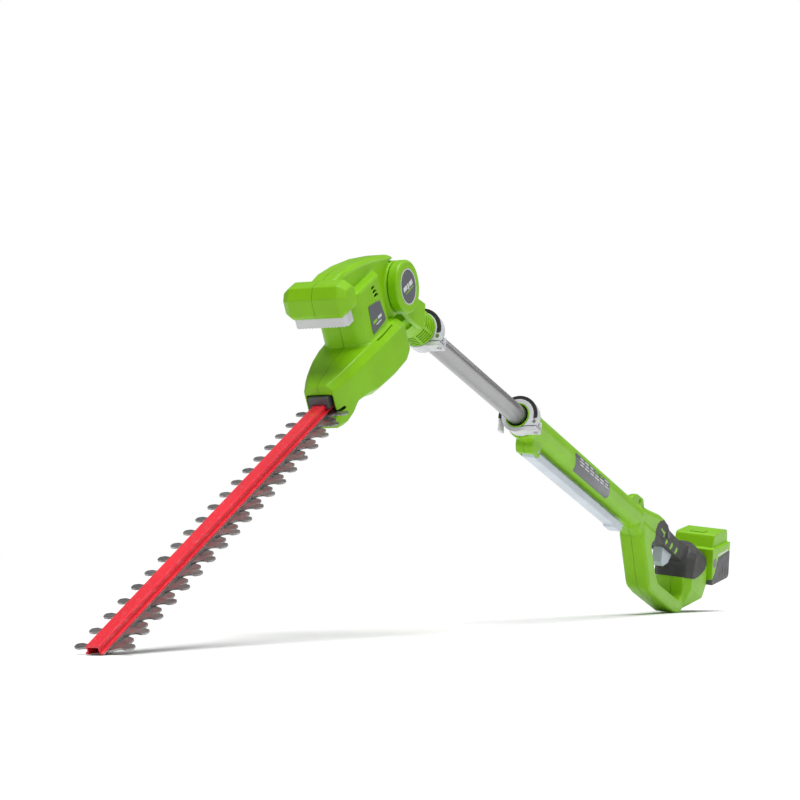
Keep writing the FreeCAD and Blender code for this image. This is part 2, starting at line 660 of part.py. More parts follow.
def neck_solid():
    over = float(S.pivot_over_pole)
    radius = float(S.neck_radius)
    end = float(S.neck_end)
    ears = []
    for side in (-1, 1):
        low = float(S.ear_inner) if side > 0 else -float(S.ear_outer)
        thick = float(S.ear_outer - S.ear_inner)
        disc = Part.makeCylinder(float(S.lug_radius), thick, Vector(0, low, over), Vector(0, 1, 0))
        rims = [e for e in disc.Edges if all(abs(abs(v.Y) - float(S.ear_outer)) < 1e-6 for v in e.Vertexes)]
        ears.append(disc.makeFillet(3.0, [e for e in rims if e.Length > 50]))
        cheek = [(0, -16), (34, -19), (62, -18), (62, 14), (34, 12), (20, 20), (0, 26)]
        reach = (low, NECK_HALF) if side > 0 else (-NECK_HALF, -float(S.ear_inner))
        ears.append(slab(cheek, reach[1], radius=3.0, low=reach[0]))
    barrel = Part.makeCylinder(radius, end - 36, Vector(36, 0, 0), Vector(1, 0, 0))
    saddle = slab([(36, -19), (62, -18), (62, 14), (36, 12)], NECK_HALF, radius=3.0, soften=5.0)
    taper = Part.makeCone(25.5, radius, 24, Vector(50, 0, 0), Vector(1, 0, 0))
    collet = Part.makeCylinder(float(S.collet_radius), 20.0, Vector(end, 0, 0), Vector(1, 0, 0))
    solid = union(ears + [barrel, saddle, taper, collet]).cut(slab(NECK_BACK, 40.0, radius=4.0))
    lug_room = Part.makeCylinder(float(S.lug_radius) + 1.5, 2 * float(S.ear_inner),
                                 Vector(0, -float(S.ear_inner), over), Vector(0, 1, 0))
    tube_bore = Part.makeCylinder(float(S.tube_radius + S.running_gap), 200,
                                  Vector(float(S.tube_front) - 0.5, 0, 0), Vector(1, 0, 0))
    cable_way = Part.makeCylinder(8.0, 60, Vector(20, 0, 0), Vector(1, 0, 0))
    pivot_bore = Part.makeCylinder(float(S.pivot_radius), 80, Vector(0, -40, over), Vector(0, 1, 0))
    solid = solid.cut(lug_room.multiFuse([tube_bore, cable_way, pivot_bore]))
    recess = Part.makeCylinder(float(S.badge_radius) + 0.2, 10, Vector(0, -float(S.ear_outer) - 8.4, over),
                               Vector(0, 1, 0))
    solid = solid.cut(recess).cut(recess.mirror(Vector(), Vector(0, 1, 0)))
    slits = []
    for ring in range(5):
        at = Vector(end - 6 - 5.0 * ring, 0, 0)
        outer = Part.makeCylinder(radius + 1, 2.4, at, Vector(1, 0, 0))
        slits.append(outer.cut(Part.makeCylinder(radius - 1.4, 2.4, at, Vector(1, 0, 0))))
    ribs = []
    for step in range(8):
        rib = Part.makeBox(40, 3.0, 30, Vector(end - 36, -1.5, 0))
        rib.rotate(Vector(), Vector(1, 0, 0), 22.5 + 45 * step)
        ribs.append(rib)
    grooves = slits[0].multiFuse(slits[1:]).cut(ribs[0].multiFuse(ribs[1:]))
    return solid.cut(grooves)


def neck():
    solid = neck_solid()
    for tool in screw_ways(NECK_SCREWS):
        solid = solid.cut(tool)
    for side, label in ((-1, "neck_shell_left"), (1, "neck_shell_right")):
        node(label, POLE, held(largest(half(solid, side))))
    over = S.pivot_over_pole
    node("pivot_bolt", POLE, rod("y", (0, -31.0, over), 62.0, S.pivot_radius))
    for label, low in (("pivot_badge_left", -(S.ear_outer - 0.2)), ("pivot_badge_right", S.ear_outer - 1.4)):
        node(label, POLE, rod("y", (0, low, over), S.badge_thickness, S.badge_radius))




def clamp(prefix, frame, start, turn):
    """A flip-lock collar: split band, screw, pin and a curved lever that closes over it."""
    end = float(S.band_length)
    inner = float(S.collet_radius) + 0.1
    outer = float(S.band_radius)
    pin_at = Vector(0, -outer - 2.0, -9.0)
    lever_outer = float(S.clamp_lever_radius)
    twist = Placement(Vector(), Rotation(Vector(1, 0, 0), turn))
    local = frame.multiply(Placement(Vector(start, 0, 0), Rotation())).multiply(twist)

    def along(radius, length, centre, at=0.0):
        return Part.makeCylinder(radius, length, Vector(at, centre.y, centre.z), Vector(1, 0, 0))

    axis = Vector()
    ring = along(outer, end, axis).cut(along(inner, end, axis))
    lug = Part.makeBox(end, 18, 15.6, Vector(0, -outer - 5.5, -21))
    lug = lug.cut(along(inner + 1.5, end, axis))
    band = ring.fuse(lug).cut(Part.makeBox(end + 2, 24, 1.4, Vector(-1, -outer - 6, -15.6)))
    knuckle_room = along(5.4, end - 6.0, pin_at, 3.0)
    band = band.cut(knuckle_room).cut(along(float(S.clamp_pin_radius), end, pin_at))
    screw_at = Vector(end / 2, pin_at.y, -21)
    screw = Part.makeCylinder(1.3, 13.5, screw_at)
    band = band.cut(screw)
    node(prefix + "_clamp_band", local, held(largest(band.removeSplitter())))
    screw_head = Part.makeCylinder(2.6, 1.8, screw_at - Vector(0, 0, 1.8))
    node(prefix + "_clamp_screw", local, held(screw.fuse(screw_head)))
    node(prefix + "_clamp_pin", local, held(along(float(S.clamp_pin_radius), end, pin_at).cut(screw)))

    width = end - 6.6
    sweep = along(lever_outer, width, axis, 3.3).cut(along(outer + 0.5, width, axis, 3.3))
    keep = Part.makeBox(end, 80, 40, Vector(0, -40, -6.0))
    arc = sweep.common(keep)
    boss = along(4.4, width, pin_at, 3.3).cut(along(outer + 0.5, width, axis, 3.3))
    tab = Part.makeBox(width, 4.5, 15, Vector(3.3, lever_outer - 3.4, -19))
    ribs = [Part.makeCylinder(0.7, width, Vector(3.3, lever_outer + 1.1, -17.5 + 2.6 * step), Vector(1, 0, 0))
            for step in range(5)]
    lever = arc.multiFuse([boss, tab]).cut(ribs[0].multiFuse(ribs[1:]))
    lever = lever.cut(along(float(S.clamp_pin_radius + S.running_gap), end, pin_at))
    lever = lever.cut(along(4.8, 5.0, pin_at, end / 2 - 2.5))
    reach = pin_at.Length + outer + 0.35
    below = Part.makeBox(end, 60, 60, pin_at - Vector(0, 0, 60))
    below.rotate(pin_at, Vector(1, 0, 0), math.degrees(math.atan2(-pin_at.z, -pin_at.y)))
    swing_room = along(reach, end, pin_at).common(below).cut(along(4.9, end, pin_at))
    lever = lever.cut(swing_room)
    node(prefix + "_clamp_lever", local, held(largest(lever.removeSplitter())))
    strap = along(lever_outer + 0.9, 2.0, axis, 1.2).cut(along(outer + 0.6, 2.0, axis, 1.2))
    strap = strap.common(Part.makeBox(end, 80, 40, Vector(0, -40, -3.0)))
    strap = strap.fuse(along(lever_outer + 0.9, 0.2, axis, 3.1).cut(along(outer + 0.6, 0.2, axis, 3.1))
                       .common(Part.makeBox(end, 80, 40, Vector(0, -40, -3.0)))).removeSplitter()
    node(prefix + "_clamp_strap", local, held(largest(strap.cut(swing_room))))


def pole():
    front = S.tube_front
    length = S.collar_from_pivot - S.tube_front + S.tube_insertion
    outer = rod("x", (front, 0, 0), length, S.tube_radius)
    inner = rod("x", (front - 1.0, 0, 0), length + 2.0, S.tube_radius - S.tube_wall)
    node("pole_tube", POLE, cut(outer, inner))
    end = S.collar_from_pivot + S.tube_insertion
    flange = rod("x", (end, 0, 0), 8.0, 14.0)
    stem = rod("x", (end - 20.0, 0, 0), 24.0, S.tube_radius - S.tube_wall)
    node("pole_end_plug", POLE, cut(fuse(flange, stem), rod("x", (end - 30.0, 0, 0), 50.0, 5.0)))


# ---------------------------------------------------------------- handle
SHOULDER = [(456, 15), (500, 19), (545, 25), (566, 25), (582, 22.5), (594, 14), (640, 11.6), (690, 15.6),
            (712, 20), (712, -12), (600, -13), (560, -12), (530, -24), (480, -27), (458, -20)]
GUARD = [(470, -4), (484, -30), (550, -91, 22.0), (580, -94.5), (688, -95), (704, -90.5), (714, -82),
         (714, -8)]
OPENING = [(532, -20), (600, -13), (682, -13), (686, -40), (697, -62), (686, -74), (586, -74), (566, -66),
           (521, -28)]
# heights of the rear body, each with its front, its rear and its half width
BODY_SECTIONS = [(-92, 686, 698, 8), (-84, 691, 713, 17), (-70, 697, 735, 23), (-62, 697, 747, 26),
                 (-50, 692, 765, 31), (-25, 684, 772.8, 31), (-6, 684, 763.9, 31), (5, 687, 758.6, 30),
                 (13, 692, 754.9, 27), (21, 699, 751.2, 20), (28.5, 712, 747.7, 9)]
RUBBER_GRIP = [(581, 24), (594, 15.4), (640, 13), (690, 17), (700, 17), (700, -14.4), (581, -14.4)]
RUBBER_BODY = [(676, 60), (770, 60), (745, -6), (722, -24), (702, -34), (676, -38)]


def body_loft(wall):
    """The rear body as a stack of plan sections; a wall shrinks it to its cavity or, if negative, grows it."""
    sections = []
    for height, front, rear, wide in BODY_SECTIONS:
        front = front + wall
        rear = rear - wall
        wide = wide - wall
        corner = min(9.0, wide * 0.6)
        side = [(front, wide - corner), (front + corner, wide), (rear - 6, wide), (rear, wide - corner * 0.7)]
        ring = side + [(x, -y) for x, y in reversed(side)]
        sections.append([(x, y, height) for x, y in ring])
    return lofted(sections)


def grip_sides():
    """What is shaved off each side of the grip so that the rubber skin can lie there."""
    grip_side = []
    for side in (-1, 1):
        inner, outer = float(S.grip_half_width), 60.0
        low, high = (inner, outer) if side > 0 else (-outer, -inner)
        grip_side.append(slab([(581, 40), (676, 40), (676, 5), (682, -12), (682, -30), (581, -30)], high,
                              radius=1.0, low=low))
    return grip_side


def handle_solids():
    """The handle's outer solids that the rubber skin lies on."""
    upper = slab(SHOULDER, float(S.shoulder_half_width), radius=6.0, soften=9.0)
    for tool in grip_sides():
        upper = upper.cut(tool)
    return [upper, slab(GUARD, float(S.loop_half_width), radius=6.0, soften=6.0), body_loft(0.0)]


def handle_outer():
    radius = float(S.handle_radius)
    drop = float(S.handle_drop)
    tube = Part.makeCylinder(radius, 446, Vector(24, 0, -drop), Vector(1, 0, 0))
    flange = Part.makeCylinder(radius + 2.4, 16, Vector(24, 0, -drop), Vector(1, 0, 0))
    flange = flange.makeFillet(1.5, [e for e in flange.Edges if e.Length > 100])
    collet = Part.makeCylinder(float(S.collet_radius), 24, Vector(1, 0, 0), Vector(1, 0, 0))
    boss = slab([(40, -15), (43, -30), (49, -37), (73, -37), (73, -20), (84, -15)], 13.0,
                radius=2.0, soften=2.0)
    upper = slab(SHOULDER, float(S.shoulder_half_width), radius=6.0, soften=9.0)
    guard = slab(GUARD, float(S.loop_half_width), radius=6.0, soften=6.0)
    body = body_loft(0.0)
    eyelet = slab([(436, 12), (452, 27), (466, 32.5), (492, 33), (503, 22), (503, 12)],
                  float(S.eyelet_half_width), radius=4.0, soften=1.5)
    return union([tube, flange, collet, boss, upper, guard, body, eyelet])


def handle_hollow():
    drop = float(S.handle_drop)
    tube_room = Part.makeCylinder(float(S.handle_bore), 406, Vector(60, 0, -drop), Vector(1, 0, 0))
    mouth = Part.makeCylinder(float(S.tube_radius) + 2.4, 70, Vector(0, 0, 0), Vector(1, 0, 0))
    opening = slab(OPENING, 60, radius=8.0)
    front, bottom = float(S.battery_front), float(S.battery_bottom)
    terminal_way = Part.makeBox(9, 40, 28, Vector(front - 6, -20, bottom + 10))
    terminal_way.rotate(Vector(), ALONG_Y, -float(S.battery_tilt))
    paddle_way = Part.makeBox(368, 2 * float(S.paddle_half_width) + 1.2, 20,
                              Vector(57, -float(S.paddle_half_width) - 0.6, -41.5))
    trigger_room = Part.makeBox(52, 17.2, 30, Vector(598, -8.6, -20))
    grip_room = slab([(590, -10), (676, -10), (676, 16), (590, 16)], 12.5, radius=3.0)
    shoulder_room = slab([(462, -14), (500, -18), (560, -8), (560, 20), (462, 15)], 15.0, radius=3.0)
    guard_room = slab([(494, -27), (511, -32), (560, -76), (580, -80), (690, -80), (700, -86), (688, -90),
                       (580, -90), (556, -86)], 12.0, radius=1.0)
    body_room = body_loft(float(S.wall)).common(Part.makeBox(200, 200, 110, Vector(600, -100, -84)))
    tubes = [Part.makeCylinder(float(S.eyelet_hole), 40, Vector(480, -20, 25.5), Vector(0, 1, 0)),
             Part.makeCylinder(2.0, 40, Vector(66, -20, -30), Vector(0, 1, 0)),
             Part.makeCylinder(6.4, 30, Vector(590, -30, 5), Vector(0, 1, 0))]
    rooms = [tube_room, mouth, opening, terminal_way, paddle_way, trigger_room, grip_room, shoulder_room,
             guard_room, body_room]
    return rooms + grip_sides() + tubes


HANDLE_SCREWS = [(470.0, -20.0), (556.0, 20.0), (531.0, -57.0), (600.0, -84.5), (690.0, -84.0), (704.0, 8.0),
                 (736.0, -54.0)]


def battery_room():
    """The space kept clear for the battery, beyond the plane where it meets the handle."""
    gap = 0.3
    corner = Vector(float(S.battery_front) - gap, -60, float(S.battery_bottom) - gap)
    room = Part.makeBox(120, 120, 120, corner)
    room.rotate(Vector(), ALONG_Y, -float(S.battery_tilt))
    return room


def handle():
    shell = handle_outer()
    for tool in handle_hollow() + screw_ways(HANDLE_SCREWS) + [battery_room()]:
        shell = shell.cut(tool)
    for side, label in ((-1, "handle_shell_left"), (1, "handle_shell_right")):
        node(label, HANDLE, held(largest(half(shell, side))))


def grip_rubber():
    """The moulded rubber skin round the rear grip, open below for the trigger."""
    inner_half = float(S.grip_half_width)
    outer_half = inner_half + float(S.rubber_thickness)
    sleeve = slab(RUBBER_GRIP, outer_half, radius=3.0, soften=4.0)
    cap = body_loft(-float(S.rubber_thickness)).common(slab(RUBBER_BODY, 60.0, radius=1.0))
    solid = sleeve.multiFuse([cap])
    for tool in handle_solids():
        solid = solid.cut(tool)
    trigger_way = Part.makeBox(54, 17.6, 40, Vector(597, -8.8, -30))
    button_way = Part.makeCylinder(6.4, 60, Vector(590, -50, 5), Vector(0, 1, 0))
    skin = solid.cut(trigger_way).cut(button_way).cut(battery_room())
    node("grip_rubber", HANDLE, held(largest(skin)))


def trigger():
    outline = [(602, 2), (612, 4), (646, -4), (647, -13), (638, -28), (620, -38), (609, -34), (605, -14)]
    body = padded(outline, 16.0)
    node("trigger", HANDLE, cut(body, rod("y", (609, -20, -3), 40.0, 1.5 + S.running_gap)))
    node("trigger_pin", HANDLE, rod("y", (609, -12.4, -3), 24.8, 1.5))
    node("trigger_switch", HANDLE, box(654.0, 674.0, -5.0, 5.0, -8.0, 8.0))


def lock_off_button():
    node("lock_off_button", HANDLE, rod("y", (590, -19.4, 5), 9.0, 6.0))


def paddle():
    """The long switch bar under the handle tube, hinged at its front end."""
    half_width = S.paddle_half_width
    outline = [(59, -33), (64, -38.4), (386, -38.4), (390, -41), (414, -41), (421, -36), (421, -27.6),
               (72, -27.6), (66, -26.4), (60, -28)]
    bar = padded(outline, half_width * 2.0)
    node("paddle", HANDLE, cut(bar, rod("y", (66, -20, -30), 40.0, 2.0 + S.running_gap)))
    node("paddle_pin", HANDLE, rod("y", (66, -12.6, -30), 25.2, 2.0))
    node("paddle_switch", HANDLE, box(478.0, 498.0, -5.0, 5.0, -12.0, 2.0))


def tube_bush():
    """The plastic bush that guides the pole tube in the handle's mouth."""
    outer = rod("x", (10.0, 0, 0), 48.0, S.tube_radius + 2.4)
    node("tube_bush", HANDLE, cut(outer, rod("x", (0, 0, 0), 80.0, S.tube_radius + S.running_gap)))


def control_board():
    board = padded([(708, -6), (738, 6), (738.7, 4.4), (708.7, -7.6)], 40.0)
    node("control_board", HANDLE, board)


def handle_badge():
    """The label set into the side of the handle tube, following its curve."""
    radius = float(S.handle_radius)
    drop = float(S.handle_drop)
    skin = Part.makeCylinder(radius + 0.35, 180, Vector(160, 0, -drop), Vector(1, 0, 0))
    skin = skin.cut(Part.makeCylinder(radius + 0.02, 180, Vector(160, 0, -drop), Vector(1, 0, 0)))
    window = slab([(168, 5), (308, 5), (328, -17), (188, -17)], -5.0, radius=3.0, low=-40.0)
    node("handle_badge", HANDLE, held(largest(skin.common(window))))


# ---------------------------------------------------------------- battery pack
def battery():
    front = float(S.battery_front)
    rear = float(S.battery_rear)
    bottom = float(S.battery_bottom)
    top = float(S.battery_top)
    cap = float(S.cap_top)
    wide = float(S.battery_half_width)
    seam = [(front, bottom), (front, bottom + 9), (front + 12, bottom + 17), (front + 26, top - 18),
            (rear, top - 14), (rear, bottom)]
    lower = slab(seam, wide, radius=1.5, soften=0.0)
    whole = slab([(front, bottom, 5.0), (front, top, 1.0), (front + 10, top, 1.0), (front + 18, cap, 6.0),
                  (rear - 3, cap, 6.0), (rear, top, 3.0), (rear, bottom, 8.0)], wide, radius=4.0)
    shoulder = Part.makeBox(200, 20, 60, Vector(front - 20, wide - 5, top))
    whole = whole.cut(shoulder).cut(shoulder.mirror(Vector(), Vector(0, 1, 0)))
    cells = []
    for column in range(3):
        for row in range(2):
            cells.append((front + 22 + 19.6 * column, bottom + 15.5 + 20.5 * row))
    low, high = bottom + 4, top - 4
    corners = [(front + 11, low), (rear - 4, low), (rear - 4, high), (front + 11, high)]
    room = slab(corners, wide - 3.5, radius=2.0)
    slot = Part.makeBox(13, 30, 24, Vector(front - 1, -15, bottom + 12))
    latch_room = Part.makeBox(17.4, 24.6, 9.4, Vector(front + 24.8, -12.3, cap - 8))
    shell = whole.cut(room).cut(slot).cut(latch_room)
    lower_shell = shell.common(lower)
    upper_shell = shell.cut(lower)
    node("battery_base", BATTERY, held(largest(lower_shell)))
    node("battery_cover", BATTERY, held(largest(upper_shell)))
    made = [rod("y", (x, -S.cell_length / 2.0, z), S.cell_length, S.cell_radius) for x, z in cells]
    node("battery_cells", BATTERY, group(made))
    node("battery_latch", BATTERY, box(front + 25, front + 42, -12.0, 12.0, cap - 4.0, cap + 1.2))
    node("terminal_block", BATTERY, fuse(box(front - 6, front - 0.6, -20.0, 20.0, bottom + 10, bottom + 38),
                                         box(front - 1, front + 9, -13.0, 13.0, bottom + 15, bottom + 33)))


def build():
    upper_blade()
    lower_blade()
    blade_bar()
    guide_rail()
    bar_fasteners()
    entry_plate()
    drive_gear()
    motor_pinion()
    motor()
    gear_case()
    base_plate()
    gear_axle()
    head_casing()
    screws("head_screws", HEAD, HEAD_SCREWS, 13.0)
    release_lever()
    detent_disc()
    lock_pawl()
    head_badge()
    neck()
    screws("neck_screws", POLE, NECK_SCREWS, 9.0)
    pole()
    clamp("front", POLE, float(S.neck_end) + 0.4, 0.0)
    clamp("rear", HANDLE, 3.0, -float(S.handle_roll))
    handle()
    grip_rubber()
    screws("handle_screws", HANDLE, HANDLE_SCREWS, 13.0)
    trigger()
    lock_off_button()
    paddle()
    tube_bush()
    control_board()
    handle_badge()
    battery()


build()
DOC.recompute()

for thing in DOC.Objects:
    if "Invalid" in thing.State or "Error" in thing.State:
        raise RuntimeError(f"{thing.Label} did not build: {thing.State}")
for label, thing in NODES.items():
    if thing.Shape.isNull() or not thing.Shape.isValid() or not thing.Shape.Solids:
        raise RuntimeError(f"{label} has no valid solid")

os.makedirs("parts", exist_ok=True)
for label, thing in NODES.items():
    thing.Shape.exportStep(f"parts/{label}.step")
    print(f"{label:22s} solids {len(thing.Shape.Solids):2d}  volume {thing.Shape.Volume / 1000:8.2f} cm3")
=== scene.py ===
import json
import math

import bmesh
import bpy
from mathutils import Matrix, Vector
from mathutils.bvhtree import BVHTree


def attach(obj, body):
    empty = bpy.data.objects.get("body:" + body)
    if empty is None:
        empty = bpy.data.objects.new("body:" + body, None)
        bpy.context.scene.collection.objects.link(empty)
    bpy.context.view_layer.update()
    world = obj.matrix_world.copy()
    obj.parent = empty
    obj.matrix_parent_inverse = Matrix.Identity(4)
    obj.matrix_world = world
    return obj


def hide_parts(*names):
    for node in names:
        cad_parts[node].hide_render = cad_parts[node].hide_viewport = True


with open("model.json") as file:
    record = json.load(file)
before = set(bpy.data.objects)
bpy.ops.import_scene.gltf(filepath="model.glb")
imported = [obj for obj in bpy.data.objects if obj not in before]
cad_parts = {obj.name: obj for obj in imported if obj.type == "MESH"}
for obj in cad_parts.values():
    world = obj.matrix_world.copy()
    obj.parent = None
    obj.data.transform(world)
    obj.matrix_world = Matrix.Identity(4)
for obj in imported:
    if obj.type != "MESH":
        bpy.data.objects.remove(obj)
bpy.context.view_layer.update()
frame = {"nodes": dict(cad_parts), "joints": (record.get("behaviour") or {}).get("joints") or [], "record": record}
nodes = frame["nodes"]
JOINTS = {j["name"]: j for j in frame["joints"]}
MM = 0.001
# sizes shared with the CAD, in millimetres and degrees
PIVOT_ALONG = 688.8
PIVOT_ABOVE = 62.5
PIVOT_OVER_POLE = 10.6
HANDLE_START = 421.4
BATTERY_TILT = 25.0


# ---------------------------------------------------------------- local frames, read from the joints
def axis_of(name):
    return Vector(JOINTS[name]["axis"]).normalized()


def frame_from(origin, x_axis, y_axis):
    """A matrix that takes local coordinates in millimetres to the row frame in metres."""
    x = x_axis.normalized()
    z = x.cross(y_axis).normalized()
    y = z.cross(x)
    turn = Matrix((x, y, z)).transposed().to_4x4()
    return Matrix.Translation(origin) @ turn @ Matrix.Scale(MM, 4)


ACROSS = axis_of("head_tilt")
PIVOT = Vector(JOINTS["head_tilt"]["pos_m"])
ALONG_BLADE = axis_of("upper_blade_slide")
UP_HEAD = axis_of("release_squeeze")
DOWN_POLE = axis_of("pole_slide")
ACROSS_HANDLE = axis_of("paddle_squeeze")
HEAD_ORIGIN = PIVOT - ALONG_BLADE * PIVOT_ALONG * MM - UP_HEAD * PIVOT_ABOVE * MM
HEAD = frame_from(HEAD_ORIGIN, ALONG_BLADE, ACROSS)
POLE = frame_from(PIVOT - DOWN_POLE.cross(ACROSS) * PIVOT_OVER_POLE * MM, DOWN_POLE, ACROSS)
HANDLE = frame_from(POLE @ Vector((HANDLE_START, 0, 0)), DOWN_POLE, ACROSS_HANDLE)
BATTERY = HANDLE @ Matrix.Rotation(-math.radians(BATTERY_TILT), 4, "Y")


# ---------------------------------------------------------------- materials
class Surface:
    """One node material: a Principled shader whose colour, roughness and bump come from noise."""

    def __init__(self, name, metallic=0.0, space=None, stretch=(1, 1, 1)):
        self.material = bpy.data.materials.new(name)
        self.material.use_nodes = True
        self.tree = self.material.node_tree
        self.shader = self.tree.nodes["Principled BSDF"]
        self.shader.inputs["Metallic"].default_value = metallic
        self.bumps = []
        where = self.add("ShaderNodeTexCoord")
        mapping = self.add("ShaderNodeMapping")
        mapping.vector_type = "TEXTURE"
        if space is not None:
            mapping.inputs["Rotation"].default_value = space.to_euler()
            mapping.inputs["Location"].default_value = space.to_translation()
        mapping.inputs["Scale"].default_value = stretch
        self.join(where.outputs["Object"], mapping.inputs["Vector"])
        self.place = mapping.outputs["Vector"]

    def add(self, kind, **values):
        made = self.tree.nodes.new(kind)
        for key, value in values.items():
            setattr(made, key, value)
        return made

    def join(self, out, into):
        self.tree.links.new(out, into)

    def noise(self, size, detail=3.0, roughness=0.5):
        """Noise whose features are about size metres across."""
        made = self.add("ShaderNodeTexNoise")
        made.inputs["Scale"].default_value = 1.0 / size
        made.inputs["Detail"].default_value = detail
        made.inputs["Roughness"].default_value = roughness
        self.join(self.place, made.inputs["Vector"])
        return made.outputs["Fac"]

    def spots(self, size):
        made = self.add("ShaderNodeTexVoronoi")
        made.inputs["Scale"].default_value = 1.0 / size
        self.join(self.place, made.inputs["Vector"])
        return made.outputs["Distance"]

    def spread(self, out, low, high, start=0.3, end=0.7):
        """Maps the middle of a noise to the range from low to high."""
        made = self.add("ShaderNodeMapRange")
        for key, value in (("From Min", start), ("From Max", end), ("To Min", low), ("To Max", high)):
            made.inputs[key].default_value = value
        self.join(out, made.inputs["Value"])
        return made.outputs["Result"]

    def blend(self, share, first, second):
        made = self.add("ShaderNodeMix", data_type="RGBA")
        for socket, value in ((made.inputs[6], first), (made.inputs[7], second)):
            if isinstance(value, tuple):
                socket.default_value = (*value, 1.0)
            else:
                self.join(value, socket)
        self.join(share, made.inputs[0])
        return made.outputs[2]

    def bump(self, out, depth, strength=1.0):
        """Adds relief of about depth metres on top of what is already there."""
        made = self.add("ShaderNodeBump")
        made.inputs["Distance"].default_value = depth
        made.inputs["Strength"].default_value = strength
        self.join(out, made.inputs["Height"])
        if self.bumps:
            self.join(self.bumps[-1].outputs["Normal"], made.inputs["Normal"])
        self.bumps.append(made)

    def finish(self, colour, rough):
        """Ends the tree; colour and rough are sockets."""
        self.join(colour, self.shader.inputs["Base Color"])
        self.join(rough, self.shader.inputs["Roughness"])
        if self.bumps:
            self.join(self.bumps[-1].outputs["Normal"], self.shader.inputs["Normal"])
        return self.material


BARE_METAL = (0.3, 0.3, 0.3)


def shade(colour, factor):
    return tuple(min(1.0, c * factor) for c in colour)


def moulded(name, colour, rough, grain=0.35 * MM, relief=0.012 * MM, wear=0.35, sheen=0.5):
    """Moulded plastic: a spark-eroded grain, a faint cloudiness, edges rubbed paler in scuffed patches."""
    s = Surface(name)
    cloud = s.spread(s.noise(40 * MM, 4.0), 0.0, 1.0)
    tone = s.blend(cloud, shade(colour, 0.93), shade(colour, 1.05))
    corner = s.add("ShaderNodeNewGeometry").outputs["Pointiness"]
    edge = s.spread(corner, 0.0, wear, 0.52, 0.62)
    scuffs = s.spread(s.noise(6 * MM, 6.0, 0.7), 0.0, 1.0, 0.45, 0.62)
    rubbed = s.add("ShaderNodeMath", operation="MULTIPLY")
    s.join(edge, rubbed.inputs[0])
    s.join(scuffs, rubbed.inputs[1])
    pale = tuple(c + (0.8 - c) * 0.22 for c in colour)
    worn = s.blend(rubbed.outputs[0], tone, pale)
    s.bump(s.noise(grain, 2.0), relief)
    s.shader.inputs["Specular IOR Level"].default_value = sheen
    return s.finish(worn, s.spread(s.noise(9 * MM, 5.0), rough * 0.86, rough * 1.14))


def rubbery(name, colour):
    """Soft overmould: a dimpled matt skin with a little dust in it."""
    s = Surface(name)
    dust = s.spread(s.noise(18 * MM, 5.0, 0.6), 0.0, 0.6, 0.48, 0.7)
    tone = s.blend(dust, colour, tuple(c * 1.5 + 0.01 for c in colour))
    s.bump(s.spots(0.9 * MM), 0.10 * MM, 0.7)
    s.bump(s.noise(0.3 * MM, 2.0), 0.02 * MM)
    return s.finish(tone, s.spread(s.noise(7 * MM, 4.0), 0.52, 0.68))


def metal(name, colour, rough, space=None, stretch=(1, 1, 1), grain=0.5 * MM, relief=0.004 * MM, stain=0.12):
    """Bare metal with a drawn or ground grain; stretch lengthens the grain along the local x axis."""
    s = Surface(name, 1.0, space, stretch)
    lines = s.noise(grain, 4.0, 0.65)
    patches = s.spread(s.noise(16 * MM, 4.0), 0.0, 1.0)
    tone = s.blend(patches, shade(colour, 1.0 - stain), shade(colour, 1.0 + stain * 0.5))
    s.bump(lines, relief)
    return s.finish(tone, s.spread(lines, rough * 0.75, rough * 1.3))


def painted(name, colour, rough, coat=0.3, space=None, stretch=(1, 1, 1)):
    """Powder coat: a slight orange peel and small chips down to grey metal on the edges."""
    s = Surface(name, 0.0, space, stretch)
    cloud = s.spread(s.noise(25 * MM, 3.0), 0.0, 1.0)
    tone = s.blend(cloud, shade(colour, 0.9), shade(colour, 1.08))
    corner = s.add("ShaderNodeNewGeometry").outputs["Pointiness"]
    edge = s.spread(corner, 0.0, 1.0, 0.53, 0.6)
    chips = s.spread(s.noise(2.5 * MM, 6.0, 0.75), 0.0, 1.0, 0.58, 0.6)
    both = s.add("ShaderNodeMath", operation="MULTIPLY")
    s.join(edge, both.inputs[0])
    s.join(chips, both.inputs[1])
    s.bump(s.noise(1.6 * MM, 2.0), 0.03 * MM, 0.6)
    s.shader.inputs["Coat Weight"].default_value = coat
    s.shader.inputs["Coat Roughness"].default_value = 0.12
    chipped = s.blend(both.outputs[0], tone, BARE_METAL)
    return s.finish(chipped, s.spread(s.noise(8 * MM), rough * 0.85, rough * 1.2))


